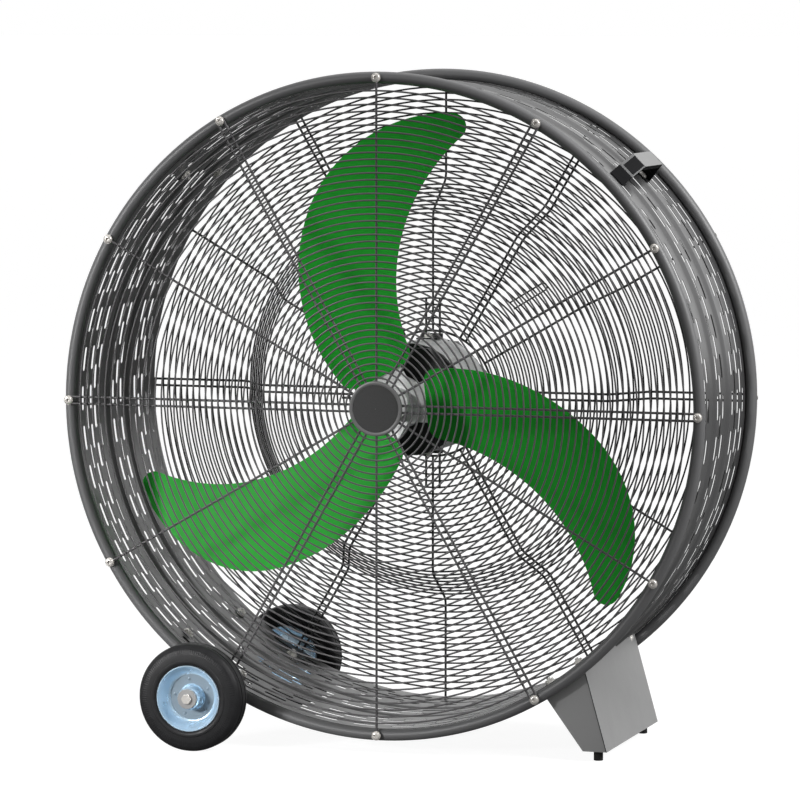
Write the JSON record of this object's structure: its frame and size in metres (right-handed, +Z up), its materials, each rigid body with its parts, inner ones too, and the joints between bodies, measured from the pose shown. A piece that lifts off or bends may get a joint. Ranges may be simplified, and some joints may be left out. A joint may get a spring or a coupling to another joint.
{
  "type": "drum fan",
  "caption": "Large wheeled drum fan: round sheet-metal drum between tube rims, wire guards, swept blades on a hung motor, two wheels and a tapered foot",
  "frame": {"origin": "on the ground straight under the drum axis, at the middle of the drum's depth", "axes": "+X to the right seen from the guarded front, +Y to the back along the drum axis, +Z up; the wheels are at -X and the foot at +X"},
  "size_m": [1.25, 0.6466, 1.2735],
  "materials": {
    "drum_sheet": "smooth mid-grey powder coat on sheet steel",
    "dark_frame": "dark grey powder coat on steel tube",
    "guard_wire": "dark grey powder coat on steel wire",
    "badge": "fine-textured dark grey face with a lighter raised rim",
    "zinc_bolts": "zinc-plated steel fasteners",
    "motor_aluminium": "light cast aluminium",
    "hub_aluminium": "light cast aluminium with a matt skin",
    "black_paint": "satin black paint",
    "black_plastic": "matt black nylon",
    "steel": "bare ground steel",
    "green_paint": "satin green powder coat on steel sheet",
    "tyre_rubber": "black ribbed rubber",
    "zinc_wheel": "bluish zinc-plated pressed steel",
    "cap_paint": "grey paint on steel",
    "pad_rubber": "matt black rubber"
  },
  "bodies": {
    "drum": {"drum_shell": "drum_sheet", "front_rim": "dark_frame", "rear_rim": "dark_frame", "front_guard_rings": "guard_wire", "front_guard_spokes": "guard_wire", "rear_guard_rings": "guard_wire", "rear_guard_spokes": "guard_wire", "guard_badge": "badge", "front_guard_bolts": "zinc_bolts", "rear_guard_bolts": "zinc_bolts", "hanger_rods": "guard_wire", "cord_hook": "guard_wire", "motor_housing": "motor_aluminium", "motor_front_bell": "black_paint", "motor_rear_bell": "black_paint", "motor_bearings": "steel", "stator": "steel", "motor_lugs": "black_paint", "motor_bolts": "zinc_bolts", "cable_gland": "black_plastic", "axle": "steel", "axle_caps": "cap_paint", "axle_bolts": "zinc_bolts", "axle_collars": "steel", "axle_brackets": "black_paint", "bracket_bolts": "zinc_bolts", "right_handle": "drum_sheet", "left_handle": "drum_sheet", "handle_bolts": "zinc_bolts", "foot_stand": "drum_sheet", "foot_bolts": "zinc_bolts", "rubber_feet": "pad_rubber", "foot_studs": "zinc_bolts"},
    "fan": {"motor_shaft": "steel", "rotor": "steel", "fan_hub": "hub_aluminium", "blade_1": "green_paint", "blade_2": "green_paint", "blade_3": "green_paint", "blade_nuts": "zinc_bolts"},
    "front_wheel": {"front_tyre": "tyre_rubber", "front_wheel_rim": "zinc_wheel", "front_wheel_bush": "black_plastic"},
    "rear_wheel": {"rear_tyre": "tyre_rubber", "rear_wheel_rim": "zinc_wheel", "rear_wheel_bush": "black_plastic"}
  },
  "joints": [
    {"name": "fan_spin", "type": "hinge", "parent": "drum", "child": "fan", "pos_m": [0, 0, 0.6485], "axis": [0, 1, 0], "continuous": true},
    {"name": "front_wheel_spin", "type": "hinge", "parent": "drum", "child": "front_wheel", "pos_m": [-0.34178, -0.284, 0.1015], "axis": [0, 1, 0], "continuous": true},
    {"name": "rear_wheel_spin", "type": "hinge", "parent": "drum", "child": "rear_wheel", "pos_m": [-0.34178, 0.284, 0.1015], "axis": [0, 1, 0], "continuous": true}
  ]
}
